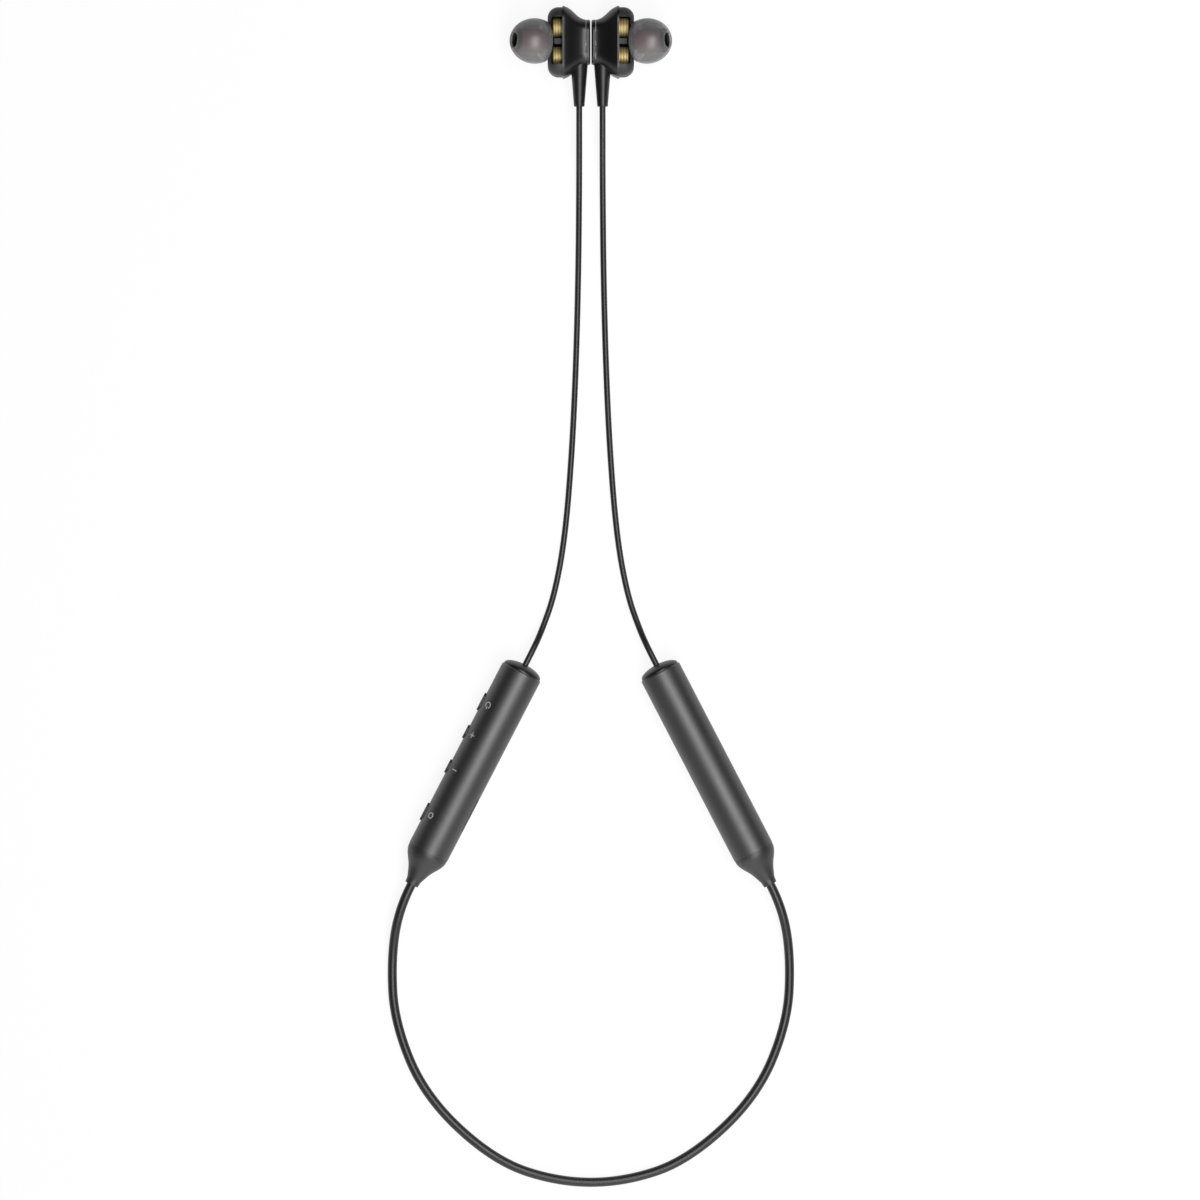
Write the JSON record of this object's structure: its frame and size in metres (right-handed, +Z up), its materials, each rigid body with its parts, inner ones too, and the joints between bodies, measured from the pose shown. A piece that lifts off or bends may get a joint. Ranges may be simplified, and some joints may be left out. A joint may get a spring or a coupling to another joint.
{
  "type": "neckband earphones",
  "caption": "Neckband earphones laid flat: round control and battery modules on a neck cable, with thin cables to magnetic in-ear buds held back to back.",
  "frame": {"origin": "middle of the footprint of the modules and earbuds, on the surface they lie on; the cables are not counted", "axes": "+Z up from the surface, +Y from the neck loop to the earbuds, +X to the right seen from above; the set is left-right alike but for the buttons and the socket"},
  "size_m": [0.1102, 0.319, 0.0161],
  "materials": {
    "module_shell": "satin",
    "button": "satin",
    "end_cap": "satin",
    "boot": "matt",
    "cable_jacket": "satin",
    "bud_shell": "satin",
    "carrier": "matt",
    "driver": "turned",
    "magnet": "nickel plate",
    "mesh": "woven",
    "tip_skin": "soft",
    "tip_core": "soft",
    "socket_steel": "plated",
    "socket_tongue": "matt",
    "cover": "matt",
    "circuit_board": "satin",
    "component": "satin",
    "switch": "plated",
    "lamp": "clear",
    "gasket": "matt",
    "wire": "satin",
    "cell": "satin",
    "foam": "foam"
  },
  "bodies": {
    "modules": {"left_barrel": "module_shell", "right_barrel": "module_shell", "left_end_cap": "end_cap", "right_end_cap": "end_cap", "left_neck_boot": "boot", "right_neck_boot": "boot", "tact_switches": "switch", "control_board": "circuit_board", "radio_chip": "component", "antenna": "lamp", "board_components": "component", "microphone": "switch", "microphone_gasket": "gasket", "status_lamp": "lamp", "light_pipe": "lamp", "board_wires": "wire", "charge_port": "socket_steel", "charge_port_tongue": "socket_tongue", "port_bezel": "module_shell", "battery_cell": "cell", "battery_pads": "foam", "protection_board": "circuit_board", "battery_leads": "wire", "through_wires": "wire", "left_bud_cable": "cable_jacket", "right_bud_cable": "cable_jacket", "neck_cable": "cable_jacket"},
    "left_bud": {"left_rear_shell": "bud_shell", "left_back_cap": "bud_shell", "left_magnet": "magnet", "left_front_housing": "bud_shell", "left_nozzle_mesh": "mesh", "left_driver_carrier": "carrier", "left_upper_driver": "driver", "left_lower_driver": "driver", "left_strain_relief": "boot"},
    "left_tip": {"left_ear_tip": "tip_skin", "left_tip_core": "tip_core"},
    "right_bud": {"right_rear_shell": "bud_shell", "right_back_cap": "bud_shell", "right_magnet": "magnet", "right_front_housing": "bud_shell", "right_nozzle_mesh": "mesh", "right_driver_carrier": "carrier", "right_upper_driver": "driver", "right_lower_driver": "driver", "right_strain_relief": "boot"},
    "right_tip": {"right_ear_tip": "tip_skin", "right_tip_core": "tip_core"},
    "power_button": {"power_button": "button"},
    "next_button": {"next_button": "button"},
    "previous_button": {"previous_button": "button"},
    "mode_button": {"mode_button": "button"},
    "port_cover": {"port_cover": "cover"}
  },
  "joints": [
    {"name": "power_button_press", "type": "slide", "parent": "modules", "child": "power_button", "axis": [0.8878, -0.4602, 0], "range_m": [0, 0.0003], "stiffness_N_per_m": 2000},
    {"name": "next_button_press", "type": "slide", "parent": "modules", "child": "next_button", "axis": [0.8878, -0.4602, 0], "range_m": [0, 0.0003], "stiffness_N_per_m": 2000},
    {"name": "previous_button_press", "type": "slide", "parent": "modules", "child": "previous_button", "axis": [0.8878, -0.4602, 0], "range_m": [0, 0.0003], "stiffness_N_per_m": 2000},
    {"name": "mode_button_press", "type": "slide", "parent": "modules", "child": "mode_button", "axis": [0.8878, -0.4602, 0], "range_m": [0, 0.0003], "stiffness_N_per_m": 2000},
    {"name": "port_cover_hinge", "type": "hinge", "parent": "modules", "child": "port_cover", "pos_m": [-0.03444, -0.10351, 0.00575], "axis": [0, 0, -1], "range_deg": [0, 110]},
    {"name": "left_bud_pull", "type": "slide", "parent": "modules", "child": "left_bud", "axis": [-1, 0, 0], "range_m": [0, 0.02]},
    {"name": "left_tip_pull", "type": "slide", "parent": "left_bud", "child": "left_tip", "axis": [-0.891, 0, 0.454], "range_m": [0, 0.008]},
    {"name": "right_bud_pull", "type": "slide", "parent": "modules", "child": "right_bud", "axis": [1, 0, 0], "range_m": [0, 0.02]},
    {"name": "right_tip_pull", "type": "slide", "parent": "right_bud", "child": "right_tip", "axis": [0.891, 0, 0.454], "range_m": [0, 0.008]}
  ]
}
